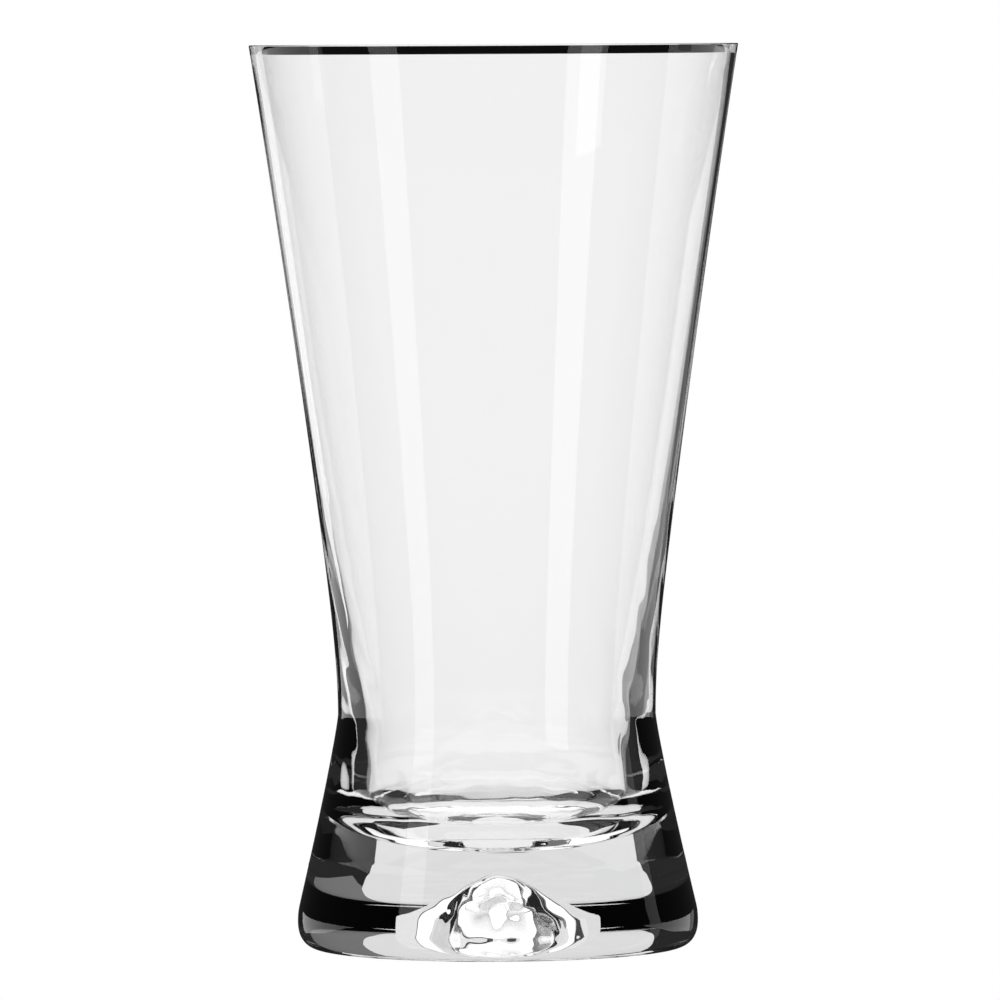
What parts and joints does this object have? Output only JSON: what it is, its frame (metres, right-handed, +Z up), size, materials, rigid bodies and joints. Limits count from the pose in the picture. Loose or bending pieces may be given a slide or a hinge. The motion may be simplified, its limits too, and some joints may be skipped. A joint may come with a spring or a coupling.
{
  "type": "pint glass",
  "caption": "Tall clear drinking glass that flares from a narrow waist to a thin rim, on a heavy solid base with a cone-shaped hollow under it.",
  "frame": {"origin": "centre of the resting ring, on the surface that the glass stands on", "axes": "+Z up along the glass's axis of revolution, from the foot to the rim"},
  "size_m": [0.0918, 0.0918, 0.17],
  "materials": {
    "blown_glass": "clear soda-lime glass, blown and fire-polished",
    "pressed_glass": "clear soda-lime glass, pressed and fire-polished"
  },
  "bodies": {
    "root": {"bowl": "blown_glass", "foot": "pressed_glass"}
  },
  "joints": []
}
